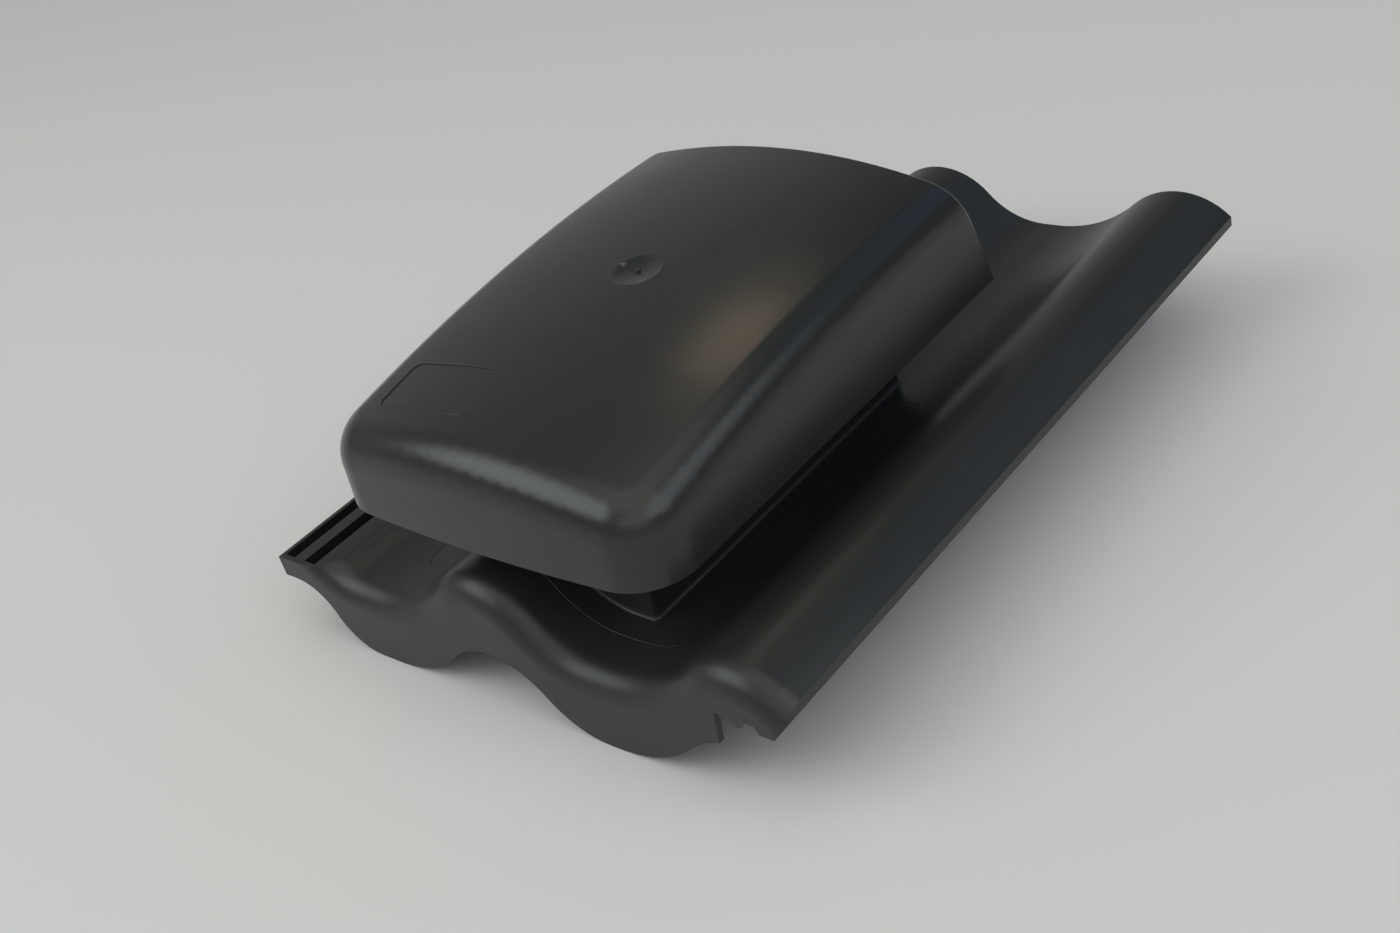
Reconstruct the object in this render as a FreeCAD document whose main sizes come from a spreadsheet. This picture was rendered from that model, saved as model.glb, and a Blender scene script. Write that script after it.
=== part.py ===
# Roof tile vent: a moulded plastic roof tile with an open upstand, and the hood that clips over it.
# Millimetres. X runs across the tile, Y up the slope from its front edge to its head, Z up from the skirt's feet.
# The origin lies under the middle of the tile. Each body is drawn from its own corner or centre and then placed.
import FreeCAD
import Part
import Sketcher
import math
import os
import re

doc = FreeCAD.newDocument("roof_tile_vent")
sheet = doc.addObject("Spreadsheet::Sheet", "Sizes")

# Driving dimensions, each with the words that say what it is.
DRIVING = {
    "tile_length": (420, "front edge to head"),
    "wave_pitch": (150, "roll to roll, half of the covered width"),
    "wave_height": (30, "trough to crest"),
    "trough_height": (40, "top of a trough above the skirt's feet"),
    "crest_place": (143.5, "left edge to the first crest"),
    "crest_radius": (40, "round of a crest"),
    "steep_run": (65, "crest down to the trough on its right"),
    "trough_flat": (8, "flat floor of a trough"),
    "edge_angle": (45.5, "how far the last roll turns down before the right edge, degrees"),
    "wall": (3.4, "thickness of the tile"),
    "skirt_wall": (3.4, "thickness of the front skirt"),
    "front_radius": (13, "round between the skirt and the top, right of the side lock"),
    "corner_radius": (7, "plan round of the tile's front right corner"),
    "arch_height": (31, "crest of the skirt's foot above the floor"),
    "arch_shift": (4, "how far its first crest lies right of the roll's own"),
    "lock_rise": (6, "top of the side lock above a trough"),
    "lock_width": (36, "flat top of the side lock"),
    "lock_depth": (11.5, "height of the skirt under the side lock"),
    "lock_foot_width": (8, "flat part of that foot"),
    "lock_foot_radius": (26, "round of that foot"),
    "groove_start": (3, "front edge to the start of the lock's grooves"),
    "groove_draft": (0.6, "how much each side of a groove opens upward"),
    "outer_lip": (2.6, "left edge to the first groove"),
    "first_groove": (6.6, "floor width of the first groove"),
    "first_rib": (8.2, "top width of the rib between the grooves"),
    "second_groove": (7.4, "floor width of the second groove"),
    "core_start": (8, "front edge to the start of the hollows under the lock's ribs"),
    "core_wall": (2.7, "wall left round the hollows under the lock's ribs"),
    "notch_place": (10.5, "lock cut-out to the last crest"),
    "notch_lean": (1.6, "lean of the cut-out's side"),
    "notch_drop": (22, "roof of the cut-out below a crest"),
    "tooth_height": (4, "depth of the two teeth in the cut-out"),
    "tooth_place": (2.2, "last crest to the first tooth"),
    "tooth_width": (2.4, "foot of the first tooth"),
    "tooth_slope": (2.2, "run of a tooth's side"),
    "tooth_gap": (5, "gap between the two teeth"),
    "vent_place": (160.5, "left edge to the middle of the upstand"),
    "vent_depth": (145.5, "front edge to the middle of the upstand"),
    "upstand_width": (114, "across the upstand"),
    "upstand_length": (204, "along the upstand"),
    "upstand_wall": (3, "thickness of the upstand"),
    "upstand_round": (2, "round of the upstand's corners"),
    "upstand_foot": (2.4, "fillet where the upstand grows out of the tile"),
    "rim_rise": (31, "rim of the upstand above the hood's lower edge"),
    "nib_width": (34, "across a hanging nib"),
    "nib_depth": (9, "along a hanging nib"),
    "nib_drop": (18, "how far a nib hangs under the tile"),
    "nib_sink": (2.5, "how far a nib runs into the tile that it hangs from"),
    "nib_setback": (14, "head of the tile to a nib"),
    "hood_width": (205.4, "across the hood's lower edge"),
    "hood_length": (282.4, "along the middle of the hood's lower edge"),
    "hood_gap": (21, "crest to the hood's lower edge"),
    "hood_height": (69, "lower edge to the highest point of the hood"),
    "hood_wall": (3, "thickness of the hood"),
    "crown_across": (395, "radius of the hood's top across"),
    "crown_along": (1000, "radius of the hood's top along"),
    "crown_shift": (74.5, "middle of the hood to its highest point, up the slope"),
    "crown_sweep": (50, "how far the crown's outline is turned to cut the hood's top, degrees"),
    "front_bow": (1150, "plan radius of the hood's front"),
    "rear_bow": (760, "plan radius of the hood's back"),
    "hood_corner": (29, "plan radius of the hood's front corners"),
    "shoulder": (22, "round of the hood's shoulders"),
    "rear_edge": (3, "round of the hood's back edge"),
    "side_lean": (1, "draft of the hood's sides, degrees"),
    "front_lean": (2.6, "draft of the hood's front, degrees"),
    "rear_lean": (17, "draft of the hood's back, degrees"),
    "dish_width": (25.6, "round hollow in the hood's top, across"),
    "dish_depth": (1.7, "depth of that hollow"),
    "dish_shift": (2.8, "middle of the hood to that hollow, down the slope"),
    "gate_width": (3.4, "stump of the moulding gate in that hollow, across its foot"),
    "gate_taper": (0.5, "how much the stump narrows on each side"),
    "gate_height": (1.1, "height of the stump"),
    "panel_width": (60, "shallow bare panel in the hood's top, across"),
    "panel_length": (29.4, "along that panel"),
    "panel_round": (5, "round of that panel's corners"),
    "panel_depth": (0.5, "depth of that panel"),
    "panel_side": (46.4, "middle of the hood to the panel, to the left"),
    "panel_shift": (98, "middle of the hood to the panel, down the slope"),
    "rib_wall": (3, "thickness of the hood's carrying ribs"),
    "rib_spread": (112, "along, between the ribs of one side"),
    "rib_reach": (9, "how far a rib reaches over the rim into the upstand"),
    "rib_leg": (16, "width of a rib's leg outside the upstand"),
    "rib_drop": (22, "length of that leg below the rim"),
    "rib_slant": (14, "rise of a rib's lower edge from its leg to the hood's side"),
    "latch_drop": (11, "rim to the top of a latch"),
    "latch_height": (4, "height of a latch"),
    "latch_reach": (2.6, "how far a latch reaches into the upstand's wall"),
    "latch_tip": (1, "blunt edge of a latch"),
    "fit": (0.3, "clearance between the hood's ribs and the upstand"),
    "margin": (6, "how far a cutting shape runs past what it cuts"),
}

# Sizes that follow from the driving ones.
DERIVED = {
    "gentle_run": "wave_pitch - steep_run - trough_flat",
    "crest_height": "trough_height + wave_height",
    "last_crest": "crest_place + wave_pitch",
    "edge_run": "crest_radius * sin(edge_angle)",
    "tile_width": "last_crest + edge_run",
    "first_trough": "crest_place - gentle_run - trough_flat",
    "lock_height": "trough_height + lock_rise",
    "lock_foot": "lock_height - lock_depth",
    "under_height": "trough_height - wall",
    "arch_place": "crest_place + arch_shift",
    "notch_height": "crest_height - notch_drop",
    "hood_bottom": "crest_height + hood_gap",
    "hood_top": "hood_bottom + hood_height",
    "rim_height": "hood_bottom + rim_rise",
    "second_start": "outer_lip + first_groove + first_rib",
    "upstand_side": "upstand_width / 2",
    "upstand_end": "upstand_length / 2",
    "latch_top": "rim_height - latch_drop",
    "latch_foot": "rim_height - latch_drop - latch_height",
}


def fill_sheet():
    """Writes the sizes into the sheet, one row each."""
    for row, (name, (number, words)) in enumerate(DRIVING.items(), start=1):
        sheet.set(f"A{row}", words)
        sheet.set(f"B{row}", str(number))
        sheet.setAlias(f"B{row}", name)
    for row, (name, formula) in enumerate(DERIVED.items(), start=len(DRIVING) + 1):
        sheet.set(f"A{row}", "worked out")
        sheet.set(f"B{row}", "=" + formula)
        sheet.setAlias(f"B{row}", name)
    doc.recompute()


def in_sheet(text):
    """An expression over size names, with the sheet's name put before each of them."""
    return re.sub(r"[a-z][a-z_]*(?![a-z_(])", lambda word: "Sizes." + word.group(), text)


def value(text):
    """The number that such an expression has now."""
    return float(sheet.evalExpression(in_sheet(text)))


def bind(item, **sizes):
    """Binds properties of a document object to expressions over the sheet."""
    for name, text in sizes.items():
        item.setExpression(name.replace("__", "."), in_sheet(text))


def new_body(label, across, along):
    """An empty body whose own origin lies at the given place of the tile."""
    body = doc.addObject("PartDesign::Body", label)
    body.Label = label
    bind(body, Placement__Base__x=across + " - tile_width / 2", Placement__Base__y=along + " - tile_length / 2")
    return body


def new_sketch(body, label, role, depth="0"):
    """A sketch on one of the body's own planes, moved along the plane's normal."""
    sketch = body.newObject("Sketcher::SketchObject", label)
    plane = next(item for item in body.Origin.OriginFeatures if item.Role == role)
    sketch.AttachmentSupport = (plane, [""])
    sketch.MapMode = "FlatFace"
    bind(sketch, AttachmentOffset__Base__z=depth)
    return sketch


LEFT, RIGHT = 1, -1


def arc_between(start, end, turn, radius):
    """The arc under half a turn that leaves start and bends left or right to end."""
    chord = end - start
    offset = math.sqrt(max(radius ** 2 - (chord.Length / 2) ** 2, 0))
    normal = FreeCAD.Vector(-chord.y, chord.x, 0).normalize()
    centre = (start + end) / 2 + normal * (turn * offset)
    first, last = (start, end) if turn == LEFT else (end, start)
    angles = [math.atan2(point.y - centre.y, point.x - centre.x) for point in (first, last)]
    return Part.ArcOfCircle(Part.Circle(centre, FreeCAD.Vector(0, 0, 1), radius), *angles)


def draw(sketch, nodes):
    """A closed outline. A node is (across, up) before a straight side, or (across, up, turn, radius) before an arc."""
    points = [FreeCAD.Vector(value(node[0]), value(node[1]), 0) for node in nodes]
    sides = []
    for node, start, end in zip(nodes, points, points[1:] + points[:1]):
        if len(node) == 2:
            sides.append((sketch.addGeometry(Part.LineSegment(start, end)), 1, 2))
        else:
            arc = arc_between(start, end, node[2], value(node[3]))
            ends = (1, 2) if node[2] == LEFT else (2, 1)
            sides.append((sketch.addGeometry(arc), *ends))
    for node, (side, start, end), following in zip(nodes, sides, sides[1:] + sides[:1]):
        sketch.addConstraint(Sketcher.Constraint("Coincident", side, end, following[0], following[1]))
        for kind, text in (("DistanceX", node[0]), ("DistanceY", node[1])):
            place = sketch.addConstraint(Sketcher.Constraint(kind, -1, 1, side, start, value(text)))
            sketch.setExpression(f"Constraints[{place}]", in_sheet(text))
        if len(node) == 4:
            bend = sketch.addConstraint(Sketcher.Constraint("Radius", side, value(node[3])))
            sketch.setExpression(f"Constraints[{bend}]", in_sheet(node[3]))


def rectangle(across, along, half_width, half_length):
    """Nodes of a rectangle round a middle point."""
    left, right = f"{across} - ({half_width})", f"{across} + {half_width}"
    low, high = f"{along} - ({half_length})", f"{along} + {half_length}"
    return [(left, low), (right, low), (right, high), (left, high)]


def feature(body, kind, label, profile, **sizes):
    """A feature of a body on a sketch, with its sizes bound to the sheet."""
    made = body.newObject("PartDesign::" + kind, label)
    made.Profile = profile
    bind(made, **sizes)
    return made


def fillet(body, label, test, radius):
    """Rounds the edges of the body's last feature whose middle point passes the test."""
    doc.recompute()
    base = body.Tip
    chosen = [f"Edge{index}" for index, edge in enumerate(base.Shape.Edges, start=1) if test(base.Shape, edge)]
    made = body.newObject("PartDesign::Fillet", label)
    made.Base = (base, chosen)
    bind(made, Radius=radius)
    doc.recompute()
    return made


def cut(body, label, profile):
    """A cut right through the body along the sketch's normal."""
    made = feature(body, "Pocket", label, profile)
    made.Type = "ThroughAll"
    return made


def middle(edge):
    """The point halfway along an edge."""
    return edge.valueAt((edge.FirstParameter + edge.LastParameter) / 2)


def is_solid(shape, point, across=0, along=0, up=0):
    """Whether a place near a point lies inside a shape."""
    return shape.isInside(point + FreeCAD.Vector(across, along, up), 0.001, True)


# Distances for telling edges apart: looking just beside one, looking past a sloping face, and being in line.
NUDGE = 0.4
REACH = 0.8
SMALL = 0.01


def is_level(edge):
    """Whether an edge sets off across the tile and not straight up."""
    return abs(edge.tangentAt(edge.FirstParameter).x) > NUDGE


def arc_sum(run, height):
    """Sum of the radii of two arcs that bend against each other and join two level lines, or one arc's radius."""
    return f"((({run}) ^ 2 + ({height}) ^ 2) / (2 * ({height})))"


def turning_point(top, side, run, low, height, radius, depth="0"):
    """Where the round of a top edge gives way to the hollow beside it, lowered square to the surface by a depth."""
    whole = arc_sum(run, height)
    across = f"{top} + ({side}) * (({run}) * ({radius}) / {whole} - ({depth}) * ({run}) / {whole})"
    up = f"{low} + ({height}) * (1 - ({radius}) / {whole}) - ({depth}) * (1 - ({height}) / {whole})"
    return across, up


def wave(low, height, depth="0", first_crest="crest_place"):
    """Nodes along the tile from the first trough to the last roll, lowered square to the surface by a depth."""
    nodes = [("first_trough", f"{low} - ({depth})")]
    for crest in (first_crest, "last_crest"):
        rising = turning_point(crest, "-1", "gentle_run", low, height, "crest_radius", depth)
        falling = turning_point(crest, "1", "steep_run", low, height, "crest_radius", depth)
        gentle_hollow = f"{arc_sum('gentle_run', height)} - crest_radius + {depth}"
        steep_hollow = f"{arc_sum('steep_run', height)} - crest_radius + {depth}"
        nodes += [
            (f"{crest} - gentle_run", f"{low} - ({depth})", LEFT, gentle_hollow),
            (*rising, RIGHT, f"crest_radius - ({depth})"),
            (*falling, LEFT, steep_hollow),
            (f"{crest} + steep_run", f"{low} - ({depth})"),
        ]
    return nodes[:-2]


def on_last_roll(low, height, away, depth="0"):
    """Height of the last roll at a distance from its crest."""
    return f"{low} + {height} - crest_radius + sqrt((crest_radius - ({depth})) ^ 2 - ({away}) ^ 2)"


def tile_top():
    """Top outline of the tile, from its left edge over the side lock and both rolls to its right edge."""
    return [
        ("0", "lock_height"),
        ("lock_width", "lock_height", LEFT, arc_sum("first_trough - lock_width", "lock_rise")),
        *wave("trough_height", "wave_height"),
        ("tile_width", on_last_roll("trough_height", "wave_height", "edge_run")),
    ]


def skirt_foot():
    """Foot of the front skirt, which lies on the next tile's rolls and lets its side lock through at the right."""
    run = "first_trough - lock_foot_width"
    bend = turning_point("lock_foot_width", "1", run, "0", "lock_foot", "lock_foot_radius")
    first_tooth = "last_crest + tooth_place"
    second_tooth = f"{first_tooth} + tooth_width + 2 * tooth_slope + tooth_gap"
    return [
        ("0", "lock_foot"),
        ("lock_foot_width", "lock_foot", RIGHT, "lock_foot_radius"),
        (*bend, LEFT, f"{arc_sum(run, 'lock_foot')} - lock_foot_radius"),
        *wave("0", "arch_height", first_crest="arch_place"),
        ("last_crest - notch_place", on_last_roll("0", "arch_height", "notch_place")),
        ("last_crest - notch_place + notch_lean", "notch_height"),
        (f"{first_tooth} - tooth_slope", "notch_height"),
        (first_tooth, "notch_height - tooth_height"),
        (f"{first_tooth} + tooth_width", "notch_height - tooth_height"),
        (f"{first_tooth} + tooth_width + tooth_slope", "notch_height"),
        (f"{second_tooth} - tooth_slope", "notch_height"),
        (second_tooth, "notch_height - tooth_height"),
        ("tile_width - corner_radius", "notch_height - tooth_height"),
        ("tile_width", on_last_roll("trough_height", "wave_height", "edge_run", "wall")),
    ]


def tile_underside():
    """Outline of all that is taken away under the tile behind its skirt."""
    right_end = on_last_roll("trough_height", "wave_height", "edge_run + wall / 2", "wall")
    return [
        ("tile_width + wall / 2", "-margin"),
        ("tile_width + wall / 2", right_end, LEFT, "crest_radius - wall"),
        *backward(wave("trough_height", "wave_height", "wall")),
        ("-margin", "under_height"),
        ("-margin", "-margin"),
    ]


def backward(nodes):
    """The same run of nodes travelled the other way."""
    turned = []
    for node, before in zip(nodes[::-1], nodes[-2::-1] + [nodes[0][:2]]):
        bend = () if len(before) == 2 else (-before[2], before[3])
        turned.append((*node[:2], *bend))
    return turned


def groove(start, width):
    """Outline of a groove of the side lock, open at its top."""
    return [
        (start, "trough_height"),
        (f"{start} + {width}", "trough_height"),
        (f"{start} + {width} + groove_draft", "lock_height + margin"),
        (f"{start} - groove_draft", "lock_height + margin"),
    ]


def rib_hollow():
    """Outline of the hollow under the lock's middle rib."""
    start = "outer_lip + first_groove + core_wall"
    end = "second_start - core_wall"
    return [
        (start, "under_height - margin"),
        (end, "under_height - margin"),
        (end, "lock_height - core_wall"),
        (start, "lock_height - core_wall"),
    ]


def slope_hollow():
    """Outline of the hollow under the lock's inner rib and the slope that leads from it into the first trough."""
    start = "second_start + second_groove + core_wall"
    run = "(first_trough - lock_width)"
    radius = arc_sum(run, "lock_rise")
    stretch = f"(1 + wall / {radius})"
    roof = f"under_height + lock_rise * {stretch}"
    return [
        (start, "under_height - margin"),
        ("first_trough", "under_height - margin"),
        ("first_trough", "under_height", RIGHT, f"{radius} + wall"),
        (f"first_trough - {run} * {stretch}", roof),
        (start, roof),
    ]


def is_front_top(shape, edge):
    """Whether an edge bounds the top of a shape along its front."""
    point = middle(edge)
    in_front = abs(point.y - shape.BoundBox.YMin) < SMALL
    return in_front and is_level(edge) and not is_solid(shape, point, 0, NUDGE, NUDGE)


def make_hollow():
    """All that is taken away under the tile behind its skirt, rounded to keep the wall even round the front edge."""
    # A body takes another away as that one stands, so this one stays unmoved, with its corner at the origin.
    body = new_body("tile_hollow", "tile_width / 2", "tile_length / 2")
    outline = new_sketch(body, "underside_outline", "XZ_Plane", "-skirt_wall")
    draw(outline, tile_underside())
    block = feature(body, "Pad", "hollow_block", outline, Length="tile_length")
    block.Reversed = True
    fillet(body, "hollow_round", is_front_top, "max(front_radius - wall; wall / 2)")
    return body


def make_tile():
    """The tile: wave, skirt, side lock, upstand and hanging nibs, moulded in one."""
    body = new_body("vented_tile", "0", "0")
    outline = new_sketch(body, "tile_outline", "XZ_Plane")
    draw(outline, tile_top() + backward(skirt_foot()))
    slab = feature(body, "Pad", "tile_slab", outline, Length="tile_length")
    slab.Reversed = True

    def is_beside_lock(shape, edge):
        return is_front_top(shape, edge) and middle(edge).x > value("lock_width")

    fillet(body, "front_round", is_beside_lock, "front_radius")
    corner = new_sketch(body, "corner_outline", "XY_Plane")
    draw(corner, [
        ("tile_width - corner_radius", "0", LEFT, "corner_radius"),
        ("tile_width", "corner_radius"),
        ("tile_width + margin", "corner_radius"),
        ("tile_width + margin", "-margin"),
        ("tile_width - corner_radius", "-margin"),
    ])
    cut(body, "corner_round", corner).Reversed = True
    hollow = make_hollow()
    under = body.newObject("PartDesign::Boolean", "underside")
    under.setObjects([hollow])
    under.Type = "Cut"
    grooves = new_sketch(body, "groove_outline", "XZ_Plane", "-groove_start")
    draw(grooves, groove("outer_lip", "first_groove"))
    draw(grooves, groove("second_start", "second_groove"))
    cut(body, "lock_grooves", grooves)
    cores = new_sketch(body, "core_outline", "XZ_Plane", "-core_start")
    draw(cores, rib_hollow())
    draw(cores, slope_hollow())
    cut(body, "lock_cores", cores)
    make_upstand(body)
    nibs = new_sketch(body, "nib_outline", "XY_Plane", "under_height - nib_drop")
    for trough in ("first_trough", "first_trough + wave_pitch"):
        along = "tile_length - nib_setback - nib_depth / 2"
        draw(nibs, rectangle(f"{trough} + trough_flat / 2", along, "nib_width / 2", "nib_depth / 2"))
    feature(body, "Pad", "nibs", nibs, Length="nib_drop + nib_sink")
    doc.recompute()
    return body


def make_upstand(body):
    """The open upstand through the tile, with its collar for the duct and the windows for the hood's latches."""
    tube = new_sketch(body, "upstand_outline", "XY_Plane")
    draw(tube, rectangle("vent_place", "vent_depth", "upstand_side", "upstand_end"))
    feature(body, "Pad", "upstand", tube, Length="rim_height")
    bore = new_sketch(body, "duct_outline", "XY_Plane")
    draw(bore, rectangle("vent_place", "vent_depth", "upstand_side - upstand_wall", "upstand_end - upstand_wall"))
    cut(body, "duct", bore).Reversed = True

    def is_outer_corner(shape, edge):
        point = middle(edge)
        across, along = abs(point.x - value("vent_place")), abs(point.y - value("vent_depth"))
        upright = abs(edge.tangentAt(edge.FirstParameter).z) > 1 - SMALL
        return upright and abs(across - value("upstand_side")) < SMALL and abs(along - value("upstand_end")) < SMALL

    fillet(body, "upstand_corners", is_outer_corner, "upstand_round")

    def is_foot(shape, edge):
        point = middle(edge)
        across, along = point.x - value("vent_place"), point.y - value("vent_depth")
        gaps = (abs(across) - value("upstand_side"), abs(along) - value("upstand_end"))
        outward = FreeCAD.Vector(math.copysign(NUDGE, across) if gaps[0] > -value("upstand_round") else 0,
                                 math.copysign(NUDGE, along) if gaps[1] > -value("upstand_round") else 0, 0)
        beside = point + outward
        near = max(gaps) > -value("upstand_round") and max(gaps) < SMALL
        return near and is_solid(shape, beside, 0, 0, -REACH) and not is_solid(shape, beside, 0, 0, REACH)

    fillet(body, "upstand_foot_round", is_foot, "upstand_foot")
    windows = new_sketch(body, "window_outline", "YZ_Plane", "vent_place")
    for side in ("-", "+"):
        middle_height = "latch_top - latch_height / 2"
        place = f"vent_depth {side} rib_spread / 2"
        draw(windows, rectangle(place, middle_height, "rib_wall / 2 + fit", "latch_height / 2 + fit"))
    opened = cut(body, "latch_windows", windows)
    opened.Midplane = True


def hood_outline(height, inset):
    """Outline of the hood at a height above its lower edge, each side moved in by its lean and by an inset."""
    side, front, rear = (f"({inset} + tan({name}) * ({height}))" for name in ("side_lean", "front_lean", "rear_lean"))
    half = f"(hood_width / 2 - {side})"
    corner = f"(hood_corner - {side})"
    front_curve = f"(front_bow - {side})"
    rear_curve = f"(rear_bow - {side})"
    front_centre = f"({front} - hood_length / 2 + {front_curve})"
    rear_centre = f"(hood_length / 2 - {rear} - {rear_curve})"
    to_corner = f"sqrt(({front_curve} - {corner}) ^ 2 - ({half} - {corner}) ^ 2)"
    share = f"{front_curve} / ({front_curve} - {corner})"
    joint_across = f"({half} - {corner}) * {share}"
    joint_along = f"{front_centre} - {to_corner} * {share}"
    side_start = f"{front_centre} - {to_corner}"
    side_end = f"{rear_centre} + sqrt({rear_curve} ^ 2 - {half} ^ 2)"
    return [
        (f"-1 * {joint_across}", joint_along, LEFT, front_curve),
        (joint_across, joint_along, LEFT, corner),
        (half, side_start),
        (half, side_end, LEFT, rear_curve),
        (f"-1 * {half}", side_end),
        (f"-1 * {half}", side_start, LEFT, corner),
    ]


def lowest(edge):
    """The height of an edge's lower end."""
    return min(vertex.Z for vertex in edge.Vertexes)


def is_shoulder(shape, edge):
    """The rim of the hood's top along its front and sides."""
    return lowest(edge) > value("hood_bottom") + NUDGE and middle(edge).y < value("hood_length / 4")


def is_rear_top(shape, edge):
    """The rim of the hood's top along its back."""
    rear = max(shape.Faces, key=lambda face: face.CenterOfMass.y)
    return lowest(edge) > value("hood_bottom") + NUDGE and any(edge.isSame(other) for other in rear.Edges)


def hood_form(label, inset, bottom):
    """The hood as a solid block: leaning sides, a top that is crowned both ways and rounded shoulders."""
    body = new_body(label, "vent_place", "vent_depth")
    top = "hood_top + margin"
    foot = new_sketch(body, label + "_foot", "XY_Plane", bottom)
    draw(foot, hood_outline(f"{bottom} - hood_bottom", inset))
    head = new_sketch(body, label + "_head", "XY_Plane", top)
    draw(head, hood_outline(f"{top} - hood_bottom", inset))
    sides = feature(body, "AdditiveLoft", label + "_sides", foot)
    sides.Sections = [head]
    sides.Ruled = True
    cut_along_crown(body, label + "_crown", inset, "hood_top + hood_height")
    fillet(body, label + "_shoulder", is_shoulder, f"shoulder - {inset}")
    return body


def cut_along_crown(body, label, inset, far):
    """Takes away all between the hood's crowned top, lowered by an inset, and a far height."""
    outline = new_sketch(body, label + "_outline", "XZ_Plane", "-crown_shift")
    half = "(hood_width / 2 + margin)"
    radius = f"crown_across - {inset}"
    edge = f"hood_top - crown_across + sqrt(({radius}) ^ 2 - {half} ^ 2)"
    draw(outline, [(f"-1 * {half}", edge, RIGHT, radius), (half, edge), (half, far), (f"-1 * {half}", far)])
    draw_axis(outline, half, "hood_top - crown_along")
    turned = feature(body, "Groove", label, outline, Angle="crown_sweep")
    turned.ReferenceAxis = (outline, ["Axis0"])
    turned.Midplane = True


def draw_axis(sketch, half, up):
    """A level construction line to turn an outline about."""
    ends = [FreeCAD.Vector(value(f"{sign} * {half}"), value(up), 0) for sign in ("-1", "1")]
    line = sketch.addGeometry(Part.LineSegment(*ends), True)
    for point, sign in ((1, "-1"), (2, "1")):
        for kind, text in (("DistanceX", f"{sign} * {half}"), ("DistanceY", up)):
            place = sketch.addConstraint(Sketcher.Constraint(kind, -1, 1, line, point, value(text)))
            sketch.setExpression(f"Constraints[{place}]", in_sheet(text))


def make_ribs():
    """The plates inside the hood that sit on the upstand's rim and latch into its windows."""
    body = new_body("hood_ribs", "vent_place", "vent_depth")
    body.AllowCompound = True
    outline = new_sketch(body, "rib_outline", "XZ_Plane", "rib_spread / 2")
    leg = "(upstand_side + fit)"
    reach = "(upstand_side - rib_reach)"
    tip = f"({leg} - latch_reach)"
    far = "(hood_width / 2 + margin)"
    for sign in ("-1", "1"):
        draw(outline, [
            (f"{sign} * {reach}", "rim_height"),
            (f"{sign} * {leg}", "rim_height"),
            (f"{sign} * {leg}", "latch_top"),
            (f"{sign} * {tip}", "latch_top"),
            (f"{sign} * {tip}", "latch_top - latch_tip"),
            (f"{sign} * {leg}", "latch_foot"),
            (f"{sign} * {leg}", "rim_height - rib_drop"),
            (f"{sign} * ({leg} + rib_leg)", "rim_height - rib_drop"),
            (f"{sign} * {far}", "rim_height - rib_drop + rib_slant"),
            (f"{sign} * {far}", "hood_top + margin"),
            (f"{sign} * {reach}", "hood_top + margin"),
        ])
    front = feature(body, "Pad", "front_ribs", outline, Length="rib_wall")
    front.Midplane = True
    rear = body.newObject("PartDesign::Mirrored", "rear_ribs")
    rear.Originals = [front]
    rear.MirrorPlane = (next(item for item in body.Origin.OriginFeatures if item.Role == "XZ_Plane"), [""])
    body.Tip = rear
    return body


def combine(kind, label, base, tool):
    """A boolean of two document objects."""
    made = doc.addObject("Part::" + kind, label)
    made.Base = base
    made.Tool = tool
    return made


def make_panel():
    """What is taken out of the hood's top for its bare panel: a block whose underside follows the crown."""
    body = new_body("panel_recess", "vent_place", "vent_depth")
    outline = new_sketch(body, "panel_outline", "XY_Plane", "hood_bottom")
    draw(outline, rectangle("-1 * panel_side", "-1 * panel_shift", "panel_width / 2", "panel_length / 2"))
    feature(body, "Pad", "panel_block", outline, Length="hood_height + margin")

    def is_upright(shape, edge):
        return abs(edge.tangentAt(edge.FirstParameter).z) > 1 - SMALL

    fillet(body, "panel_corners", is_upright, "panel_round")
    cut_along_crown(body, "panel_floor", "panel_depth", "hood_bottom - margin")
    return body


def make_hood():
    """The hood: a thin crowned shell, its four ribs, the bare panel and the hollow with the gate's stump."""
    outer = hood_form("hood_outside", "0", "hood_bottom")
    fillet(outer, "hood_rear_edge", is_rear_top, "rear_edge")
    inner = hood_form("hood_inside", "hood_wall", "hood_bottom - margin")
    shell = combine("Cut", "hood_shell", outer, inner)
    ribs = combine("Common", "hood_ribs_cut", make_ribs(), outer)
    whole = combine("Fuse", "hood_with_ribs", shell, ribs)
    panelled = combine("Cut", "hood_with_panel", whole, make_panel())
    dish = doc.addObject("Part::Sphere", "hood_dish")
    radius = "((dish_width ^ 2 / 4 + dish_depth ^ 2) / (2 * dish_depth))"
    slope = "(crown_shift + dish_shift)"
    level = f"sqrt(crown_along ^ 2 - {slope} ^ 2)"
    across = "vent_place - tile_width / 2"
    along = "vent_depth - tile_length / 2 - dish_shift"
    surface = f"hood_top - crown_along + {level}"
    bind(
        dish,
        Radius=radius,
        Placement__Base__x=across,
        Placement__Base__y=f"{along} - ({radius} - dish_depth) * {slope} / crown_along",
        Placement__Base__z=f"{surface} + ({radius} - dish_depth) * {level} / crown_along",
    )
    dished = combine("Cut", "hood_with_dish", panelled, dish)
    stump = doc.addObject("Part::Cone", "gate_stump")
    bind(
        stump,
        Radius1="gate_width / 2",
        Radius2="gate_width / 2 - gate_taper",
        Height="gate_height + gate_taper",
        Placement__Base__x=across,
        Placement__Base__y=f"{along} + dish_depth * {slope} / crown_along",
        Placement__Base__z=f"{surface} - dish_depth * {level} / crown_along - gate_taper",
    )
    hood = combine("Fuse", "vent_hood", dished, stump)
    doc.recompute()
    return hood


def check(nodes):
    """Stops where a feature failed or a sub-part has no sound shape."""
    failed = [item.Label for item in doc.Objects if "Invalid" in item.State or "Error" in item.State]
    if failed:
        raise RuntimeError("failed features: " + ", ".join(failed))
    for node in nodes:
        if node.Shape.isNull() or not node.Shape.isValid():
            raise RuntimeError("no sound shape: " + node.Label)


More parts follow.
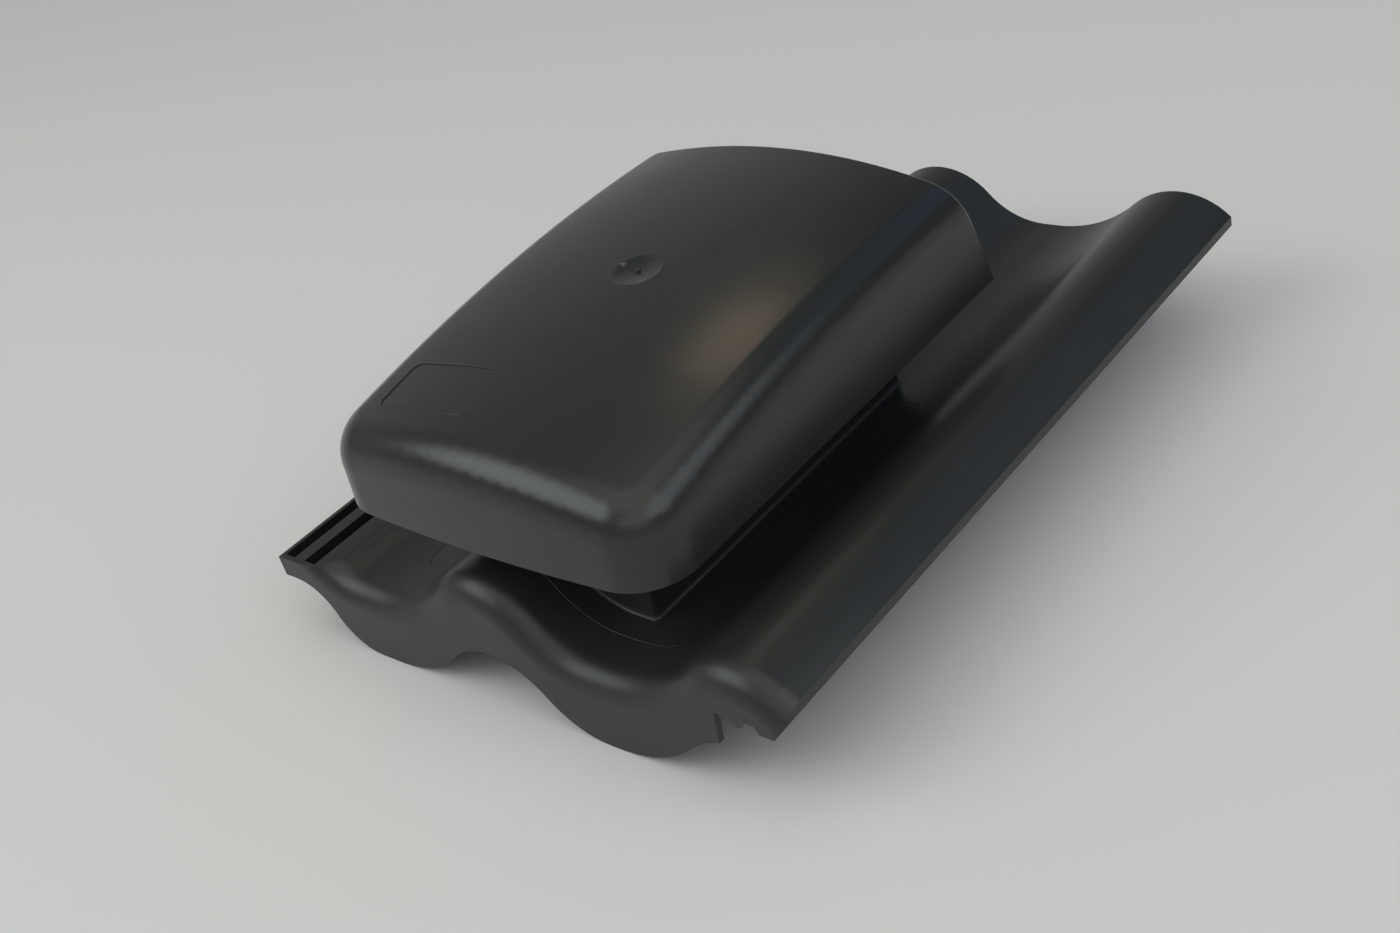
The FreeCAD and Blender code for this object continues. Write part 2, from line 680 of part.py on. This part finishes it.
def main():
    fill_sheet()
    nodes = [make_tile(), make_hood()]
    doc.recompute()
    check(nodes)
    os.makedirs("parts", exist_ok=True)
    for node in nodes:
        node.Shape.exportStep(f"parts/{node.Label}.step")


main()
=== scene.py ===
"""Roof tile vent: dresses the tile and its hood in moulded plastic and sets them on a pale studio floor."""
import math

import bpy
from mathutils import Euler, Matrix, Vector

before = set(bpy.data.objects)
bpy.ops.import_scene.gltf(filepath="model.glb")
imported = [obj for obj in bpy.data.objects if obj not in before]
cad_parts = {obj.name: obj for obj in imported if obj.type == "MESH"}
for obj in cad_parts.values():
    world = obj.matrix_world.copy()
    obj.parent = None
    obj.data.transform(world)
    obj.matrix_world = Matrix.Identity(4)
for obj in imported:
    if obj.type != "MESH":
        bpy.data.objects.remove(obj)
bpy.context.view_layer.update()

bl_info = {
    "name": "Roof Tile Vent",
    "version": (1, 0, 0),
    "blender": (4, 5, 0),
    "location": "3D View > Sidebar > Roof Vent",
    "description": "Dresses a moulded roof tile vent and sets it in a plain studio",
    "category": "Object",
}

MM = 0.001

# Corners of triangles that lie closer than this are joined
WELD_GAP = 0.001 * MM
# Edges that turn by more than this stay crisp
CRISP_ANGLE = math.radians(30)

POLYPROPYLENE_IOR = 1.49
# The clouds' scale along the tile, where the melt drew them out
CLOUD_STRETCH = 0.3
CLOUD_DETAIL = 3
GRAIN_DETAIL = 2
# Nearly all of the clouds' noise lies between these two values
CLOUD_LOW = 0.3
CLOUD_HIGH = 0.7
# Keeps a place's plan and drops its height
PLAN_ONLY = (1, 1, 0)
# Height in millimetres that takes an outline right through the part
TALL = 1000

# The point that the lamps face, and how far off they stand
TILE_MIDDLE = Vector((0, -0.05, 0.1))
LAMP_DISTANCE = 3.2
# A lamp fades between these distances from its middle, with its own sides as one
LAMP_CENTRE = (0.5, 0.5, 0)
LAMP_CORE = 0.25
LAMP_EDGE = 0.6

FLOOR_SIZE = 12
FLOOR_DROP = 0.0002
FLOOR_ROUGHNESS = 0.7
# The floor fades into the studio wall between these distances from its middle
FLOOR_NEAR = 1.4
FLOOR_FAR = 3
# The wall fades into the room at this sine of the angle above the floor
WALL_RISE = 0.2
# The backdrop fades between these two cosines of the angle from its middle
BACKDROP_EDGE = 0.62
BACKDROP_CORE = 0.93


def linear(code):
    """Linear colour of an sRGB hex value, by the curve of that standard."""
    channels = [int(code[start:start + 2], 16) / 255 for start in (1, 3, 5)]
    return [value / 12.92 if value <= 0.04045 else ((value + 0.055) / 1.055) ** 2.4 for value in channels]


def colour(name, description, code):
    """A colour setting, given as an sRGB hex value."""
    return bpy.props.FloatVectorProperty(
        name=name, description=description, subtype="COLOR", size=3, min=0, max=1, default=linear(code))


def length(name, description, millimetres):
    """A length setting, given in millimetres."""
    return bpy.props.FloatProperty(
        name=name, description=description, unit="LENGTH", default=millimetres * MM, precision=5)


def spot(name, description, *millimetres):
    """A place or a size in three directions, given in millimetres."""
    return bpy.props.FloatVectorProperty(
        name=name, description=description, subtype="TRANSLATION", size=3,
        default=[part * MM for part in millimetres])


def share(name, description, default):
    """A setting between nought and one."""
    return bpy.props.FloatProperty(
        name=name, description=description, subtype="FACTOR", min=0, max=1, default=default)


def angle(name, description, degrees):
    """An angle setting, given in degrees."""
    return bpy.props.FloatProperty(
        name=name, description=description, subtype="ANGLE", default=math.radians(degrees))


def level(name, description, default):
    """A lamp's brightness, with white paper under plain light as one."""
    return bpy.props.FloatProperty(name=name, description=description, min=0, default=default)


class PlasticSettings(bpy.types.PropertyGroup):
    """Colours, gloss, grain and fine ridges of the moulded plastic."""

    dark: colour("Dark", "Plastic where the melt set dark", "#222523")
    light: colour("Light", "Plastic where the melt set pale", "#292c2a")
    tile_smooth: share("Tile Smooth", "Roughness of the tile's smoother patches", 0.33)
    tile_dull: share("Tile Dull", "Roughness of the tile's duller patches", 0.42)
    hood_smooth: share("Hood Smooth", "Roughness of the hood's smoother patches", 0.21)
    hood_dull: share("Hood Dull", "Roughness of the hood's duller patches", 0.265)
    polished: share("Polished", "Roughness of the hollow in the hood's top", 0.05)
    grain: length("Grain", "Width of the moulded grain", 1.1)
    grain_depth: length("Grain Depth", "Depth of the moulded grain", 0.008)
    cloud: length("Cloud", "Width of the cloudy patches across the flow of the melt", 45)
    dust: colour("Dust", "Dust specks on the plastic", "#8a8a84")
    dust_gap: length("Dust Gap", "Distance between dust specks in space", 20)
    dust_size: length("Dust Size", "Radius of a dust speck", 0.45)
    dish_place: spot("Dish Place", "Middle of the hollow in the hood's top", -0.5, -67.3, 0)
    dish_width: length("Dish Width", "Width of that hollow", 25.6)
    panel_place: spot("Panel Place", "Middle of the bare panel in the hood's top", -46.9, -162.5, 0)
    panel_size: spot("Panel Size", "Half the panel's size across and along", 30, 14.7, TALL)
    panel_round: length("Panel Round", "Round of the panel's corners", 5)
    insert_place: spot("Insert Place", "Middle of the mould's insert round the upstand", 0, -80.2, 0)
    insert_size: spot("Insert Size", "Half that insert's size across and along", 86, 100.2, TALL)
    insert_round: length("Insert Round", "Round of that insert's corners", 12)
    line_width: length("Line Width", "Half the width of the ridges that the mould's joints left", 0.55)
    insert_rise: length("Insert Rise", "Height of the ridge round the insert", 0.27)
    rim_rise: length("Rim Rise", "Height of the ridges round the hood's hollow and panel", 0.2)


class StageSettings(bpy.types.PropertyGroup):
    """Camera, floor, room and lamps."""

    camera_place: spot("Camera Place", "Where the camera stands", 519.4, -560.3, 504.1)
    camera_turn: angle("Camera Turn", "Turn of the camera to the right of the tile's front", 46.19)
    camera_drop: angle("Camera Drop", "How far the camera looks down", 32.79)
    camera_roll: angle("Camera Roll", "Roll of the camera about its own axis", -15.25)
    lens: bpy.props.FloatProperty(
        name="Lens", description="Focal length on a sensor 36 mm wide", subtype="DISTANCE_CAMERA",
        default=43.83)
    floor: colour("Floor", "Colour of the studio floor", "#e0dfdd")
    room: colour("Room", "Light from all round", "#838382")
    wall: colour("Wall", "Pale studio wall at the floor's level", "#bcbbb9")
    backdrop: colour("Backdrop", "Dark backdrop behind the tile's head", "#4c4e50")
    backdrop_turn: angle("Backdrop Turn", "Its turn from the tile's right towards the head", 72)
    backdrop_rise: angle("Backdrop Rise", "Height of its middle above the floor", 30)
    overhead_glow: level("Overhead Glow", "Brightness of the softbox over the tile", 0.8)
    window_glow: level("Window Glow", "Brightness of the window on the front left", 2.5)
    panel_glow: level("Panel Glow", "Brightness of the broad panel on the right", 1.5)
    fill_glow: level("Fill Glow", "Brightness of the fill beside the camera", 0.8)
    card_glow: level("Card Glow", "Brightness of the pale card behind on the left", 0.11)
    blue_glow: level("Blue Glow", "Brightness of the blue card in front of the backdrop", 0.28)
    warm_glow: level("Warm Glow", "Brightness of the small warm lamp behind on the left", 2.2)


class RoofVentSettings(bpy.types.PropertyGroup):
    """All settings of the roof tile vent."""

    plastic: bpy.props.PointerProperty(type=PlasticSettings, name="Plastic", description="Moulded plastic")
    stage: bpy.props.PointerProperty(type=StageSettings, name="Stage", description="Camera, floor and lamps")


def add_node(tree, kind, links=None, **settings):
    """Adds a node with its settings, and with its inputs set to values or joined to other nodes' outputs."""
    node = tree.nodes.new("ShaderNode" + kind)
    for name, setting in settings.items():
        setattr(node, name, setting)
    for name, source in (links or {}).items():
        if isinstance(source, bpy.types.NodeSocket):
            tree.links.new(source, node.inputs[name])
        else:
            node.inputs[name].default_value = source
    return node


def new_material(name):
    """An empty node material with its output."""
    material = bpy.data.materials.new(name)
    material.use_nodes = True
    material.node_tree.nodes.clear()
    return material, add_node(material.node_tree, "OutputMaterial")


def moulded_polypropylene(name, plastic, smooth, dull):
    """Satin polypropylene from a polished steel mould.

    It gives soft but clear reflections, a fine even grain, faint clouds where the melt ran
    and a few specks of dust.
    """
    material, output = new_material(name)
    tree = material.node_tree
    place = add_node(tree, "TexCoord").outputs["Object"]
    drawn = add_node(tree, "Mapping", {"Vector": place, "Scale": (1, CLOUD_STRETCH, 1)})
    cloud = add_node(tree, "TexNoise", {
        "Vector": drawn.outputs[0], "Scale": 1 / plastic.cloud, "Detail": CLOUD_DETAIL})
    grain = add_node(tree, "TexNoise", {
        "Vector": place, "Scale": 1 / plastic.grain, "Detail": GRAIN_DETAIL})
    body = add_node(tree, "Mix", {
        "Factor": cloud.outputs["Fac"], "A": (*plastic.dark, 1), "B": (*plastic.light, 1)}, data_type="RGBA")
    dust = add_node(tree, "TexVoronoi", {"Vector": place, "Scale": 1 / plastic.dust_gap})
    speck = add_node(tree, "MapRange", {
        "Value": dust.outputs["Distance"], "From Min": 0, "From Max": plastic.dust_size / plastic.dust_gap,
        "To Min": 1, "To Max": 0}, interpolation_type="SMOOTHSTEP")
    dusty = add_node(tree, "Mix", {
        "Factor": speck.outputs["Result"], "A": body.outputs["Result"], "B": (*plastic.dust, 1)},
        data_type="RGBA")
    gloss = add_node(tree, "MapRange", {
        "Value": cloud.outputs["Fac"], "From Min": CLOUD_LOW, "From Max": CLOUD_HIGH,
        "To Min": smooth, "To Max": dull})
    bump = add_node(tree, "Bump", {
        "Height": grain.outputs["Fac"], "Strength": 1, "Distance": plastic.grain_depth})
    shader = add_node(tree, "BsdfPrincipled", {
        "Base Color": dusty.outputs["Result"], "Roughness": gloss.outputs["Result"],
        "Normal": bump.outputs["Normal"], "IOR": POLYPROPYLENE_IOR})
    tree.links.new(shader.outputs["BSDF"], output.inputs["Surface"])
    return material, place, shader


def add_ridge(tree, place, shader, middle, half_size, rounding, width, rise):
    """A fine raised line along a rounded rectangle in plan, where two parts of the mould met."""
    straight = Vector(half_size) - Vector((rounding, rounding, 0))
    moved = add_node(tree, "VectorMath", {0: place, 1: middle}, operation="SUBTRACT")
    folded = add_node(tree, "VectorMath", {0: moved.outputs[0]}, operation="ABSOLUTE")
    beyond = add_node(tree, "VectorMath", {0: folded.outputs[0], 1: straight}, operation="SUBTRACT")
    outside = add_node(tree, "VectorMath", {0: beyond.outputs[0], 1: (0, 0, 0)}, operation="MAXIMUM")
    reach = add_node(tree, "VectorMath", {0: outside.outputs[0]}, operation="LENGTH")
    away = add_node(tree, "Math", {0: reach.outputs["Value"], 1: rounding}, operation="SUBTRACT")
    gap = add_node(tree, "Math", {0: away.outputs[0]}, operation="ABSOLUTE")
    ridge = add_node(tree, "MapRange", {
        "Value": gap.outputs[0], "From Min": 0, "From Max": width, "To Min": 1, "To Max": 0},
        interpolation_type="SMOOTHSTEP")
    grained = shader.inputs["Normal"].links[0].from_socket
    bump = add_node(tree, "Bump", {
        "Height": ridge.outputs["Result"], "Strength": 1, "Distance": rise, "Normal": grained})
    tree.links.new(bump.outputs["Normal"], shader.inputs["Normal"])


def polish_dish(tree, place, shader, plastic):
    """Polishes the hollow in the hood's top, which shows the room's lights as small clear glints."""
    flat = add_node(tree, "VectorMath", {0: place, 1: PLAN_ONLY}, operation="MULTIPLY")
    away = add_node(tree, "VectorMath", {0: flat.outputs[0], 1: plastic.dish_place}, operation="DISTANCE")
    inside = add_node(tree, "Math", {
        0: away.outputs["Value"], 1: plastic.dish_width / 2}, operation="LESS_THAN")
    moulded = shader.inputs["Roughness"].links[0].from_socket
    gloss = add_node(tree, "Mix", {"Factor": inside.outputs[0], "A": moulded, "B": plastic.polished})
    tree.links.new(gloss.outputs["Result"], shader.inputs["Roughness"])


def dress(node, material):
    """Gives a node its material, and even shading between its crisp edges."""
    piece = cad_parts[node]
    piece.data.materials.clear()
    piece.data.materials.append(material)
    piece.modifiers.new("joined_triangles", "WELD").merge_threshold = WELD_GAP
    piece.modifiers.new("crisp_edges", "EDGE_SPLIT").split_angle = CRISP_ANGLE
    piece.modifiers.new("even_shading", "WEIGHTED_NORMAL").mode = "FACE_AREA_WITH_ANGLE"


class ROOFVENT_OT_dress_tile(bpy.types.Operator):
    """Gives the tile its moulded plastic"""

    bl_idname = "roofvent.dress_tile"
    bl_label = "Dress Tile"

    def execute(self, context):
        plastic = context.scene.roof_vent.plastic
        material, place, shader = moulded_polypropylene(
            "tile_polypropylene", plastic, plastic.tile_smooth, plastic.tile_dull)
        add_ridge(material.node_tree, place, shader, plastic.insert_place, plastic.insert_size,
                  plastic.insert_round, plastic.line_width, plastic.insert_rise)
        dress("vented_tile", material)
        return {"FINISHED"}


class ROOFVENT_OT_dress_hood(bpy.types.Operator):
    """Gives the hood its moulded plastic"""

    bl_idname = "roofvent.dress_hood"
    bl_label = "Dress Hood"

    def execute(self, context):
        plastic = context.scene.roof_vent.plastic
        material, place, shader = moulded_polypropylene(
            "hood_polypropylene", plastic, plastic.hood_smooth, plastic.hood_dull)
        polish_dish(material.node_tree, place, shader, plastic)
        dish_round = plastic.dish_width / 2
        add_ridge(material.node_tree, place, shader, plastic.dish_place, (dish_round, dish_round, TALL * MM),
                  dish_round, plastic.line_width, plastic.rim_rise)
        add_ridge(material.node_tree, place, shader, plastic.panel_place, plastic.panel_size,
                  plastic.panel_round, plastic.line_width, plastic.rim_rise)
        dress("vent_hood", material)
        return {"FINISHED"}


def place_camera(stage):
    """Stands the camera where the photograph was taken from."""
    data = bpy.data.cameras.new("studio_camera")
    data.lens = stage.lens
    camera = bpy.data.objects.new("studio_camera", data)
    bpy.context.collection.objects.link(camera)
    turn = Matrix.Rotation(stage.camera_turn, 4, "Z")
    tip = Matrix.Rotation(math.pi / 2 - stage.camera_drop, 4, "X")
    roll = Matrix.Rotation(stage.camera_roll, 4, "Z")
    camera.matrix_world = Matrix.Translation(stage.camera_place) @ turn @ tip @ roll
    bpy.context.scene.camera = camera


def heading(turn, rise):
    """The direction that is turned from the tile's right towards its head and raised above the floor."""
    away = Vector((1, 0, 0))
    away.rotate(Euler((0, -rise, turn)))
    return away


def soften_edges(lamp):
    """Lets a lamp fade from its middle to its edges, as the cloth of a softbox does."""
    lamp.use_nodes = True
    tree = lamp.node_tree
    across = add_node(tree, "NewGeometry").outputs["Parametric"]
    away = add_node(tree, "VectorMath", {0: across, 1: LAMP_CENTRE}, operation="DISTANCE")
    fade = add_node(tree, "MapRange", {
        "Value": away.outputs["Value"], "From Min": LAMP_CORE, "From Max": LAMP_EDGE,
        "To Min": 1, "To Max": 0}, interpolation_type="SMOOTHSTEP")
    tree.links.new(fade.outputs["Result"], tree.nodes["Emission"].inputs["Strength"])


def add_softbox(name, glow, code, turn, rise, width, height):
    """A rectangular lamp that faces the tile from the heading of two angles in degrees."""
    data = bpy.data.lights.new(name, "AREA")
    data.shape = "RECTANGLE"
    data.size = width
    data.size_y = height
    data.energy = glow * math.pi * width * height
    data.color = linear(code)
    soften_edges(data)
    lamp = bpy.data.objects.new(name, data)
    bpy.context.collection.objects.link(lamp)
    away = heading(math.radians(turn), math.radians(rise)) * LAMP_DISTANCE
    lamp.location = TILE_MIDDLE + away
    lamp.rotation_euler = away.to_track_quat("Z", "Y").to_euler()


def add_floor(stage):
    """A plain pale floor under the skirt's feet, which fades into the studio wall.

    From below it can be seen through, so that the tile's underside shows.
    """
    bpy.ops.mesh.primitive_plane_add(size=FLOOR_SIZE)
    floor = bpy.context.object
    floor.name = "studio_floor"
    floor.location.z = -FLOOR_DROP
    material, output = new_material("floor_board")
    tree = material.node_tree
    place = add_node(tree, "TexCoord").outputs["Object"]
    away = add_node(tree, "VectorMath", {0: place}, operation="LENGTH")
    solid = add_node(tree, "MapRange", {
        "Value": away.outputs["Value"], "From Min": FLOOR_NEAR, "From Max": FLOOR_FAR,
        "To Min": 1, "To Max": 0}, interpolation_type="SMOOTHSTEP")
    below = add_node(tree, "NewGeometry").outputs["Backfacing"]
    cover = add_node(tree, "Math", {
        0: solid.outputs["Result"], 1: below}, operation="SUBTRACT", use_clamp=True)
    shader = add_node(tree, "BsdfPrincipled", {
        "Base Color": (*stage.floor, 1), "Roughness": FLOOR_ROUGHNESS, "Alpha": cover.outputs[0]})
    tree.links.new(shader.outputs["BSDF"], output.inputs["Surface"])
    floor.data.materials.append(material)


def set_world(stage):
    """Even light from all round, with a pale wall at the floor's level and a dark backdrop at the head."""
    world = bpy.data.worlds.new("studio_world")
    world.use_nodes = True
    tree = world.node_tree
    look = add_node(tree, "TexCoord").outputs["Generated"]
    middle = heading(stage.backdrop_turn, stage.backdrop_rise)
    nearness = add_node(tree, "VectorMath", {0: look, 1: middle}, operation="DOT_PRODUCT")
    cover = add_node(tree, "MapRange", {
        "Value": nearness.outputs["Value"], "From Min": BACKDROP_EDGE, "From Max": BACKDROP_CORE},
        interpolation_type="SMOOTHSTEP")
    tone = add_node(tree, "Mix", {
        "Factor": cover.outputs["Result"], "A": (*stage.room, 1), "B": (*stage.backdrop, 1)},
        data_type="RGBA")
    rise = add_node(tree, "SeparateXYZ", {0: look}).outputs["Z"]
    lift = add_node(tree, "MapRange", {
        "Value": rise, "From Min": 0, "From Max": WALL_RISE}, interpolation_type="SMOOTHSTEP")
    seen = add_node(tree, "Mix", {
        "Factor": lift.outputs["Result"], "A": (*stage.wall, 1), "B": tone.outputs["Result"]},
        data_type="RGBA")
    tree.links.new(seen.outputs["Result"], tree.nodes["Background"].inputs["Color"])
    bpy.context.scene.world = world


def add_lamps(stage):
    """The lamps and cards of the studio, with their sizes in metres."""
    add_softbox("overhead_softbox", stage.overhead_glow, "#fffdf8", turn=-45, rise=80, width=4.5, height=4.5)
    add_softbox("window", stage.window_glow, "#f4fffa", turn=-130, rise=39, width=3.2, height=2.4)
    add_softbox("right_panel", stage.panel_glow, "#f2fbff", turn=6, rise=41, width=3.5, height=2.2)
    add_softbox("back_card", stage.card_glow, "#fff6ea", turn=152, rise=22, width=4.2, height=2.6)
    add_softbox("blue_card", stage.blue_glow, "#8fb8ff", turn=70, rise=39, width=3, height=1.8)
    add_softbox("camera_fill", stage.fill_glow, "#ffffff", turn=-50, rise=32, width=3.8, height=2.2)
    add_softbox("warm_lamp", stage.warm_glow, "#ffe1c0", turn=124, rise=53.5, width=0.7, height=0.7)


class ROOFVENT_OT_set_stage(bpy.types.Operator):
    """Sets up the camera, the floor, the room and the lamps"""

    bl_idname = "roofvent.set_stage"
    bl_label = "Set Stage"

    def execute(self, context):
        stage = context.scene.roof_vent.stage
        context.scene.view_settings.view_transform = "Standard"
        place_camera(stage)
        add_floor(stage)
        set_world(stage)
        add_lamps(stage)
        return {"FINISHED"}


class ROOFVENT_PT_panel(bpy.types.Panel):
    """Lists the steps and settings of the roof tile vent"""

    bl_idname = "ROOFVENT_PT_panel"
    bl_label = "Roof Vent"
    bl_space_type = "VIEW_3D"
    bl_region_type = "UI"
    bl_category = "Roof Vent"

    def draw(self, context):
        column = self.layout.column()
        for step in STEPS:
            column.operator(step.bl_idname)
        for group in (context.scene.roof_vent.plastic, context.scene.roof_vent.stage):
            for name in group.__annotations__:
                column.prop(group, name)


STEPS = (ROOFVENT_OT_dress_tile, ROOFVENT_OT_dress_hood, ROOFVENT_OT_set_stage)
CLASSES = (PlasticSettings, StageSettings, RoofVentSettings, *STEPS, ROOFVENT_PT_panel)


def register():
    """Adds the classes and the settings."""
    for kind in CLASSES:
        bpy.utils.register_class(kind)
    bpy.types.Scene.roof_vent = bpy.props.PointerProperty(type=RoofVentSettings)


def unregister():
    """Removes the settings and the classes."""
    del bpy.types.Scene.roof_vent
    for kind in reversed(CLASSES):
        bpy.utils.unregister_class(kind)


def main():
    """Runs every step."""
    register()
    bpy.ops.roofvent.dress_tile()
    bpy.ops.roofvent.dress_hood()
    bpy.ops.roofvent.set_stage()


if __name__ == "__main__":
    main()
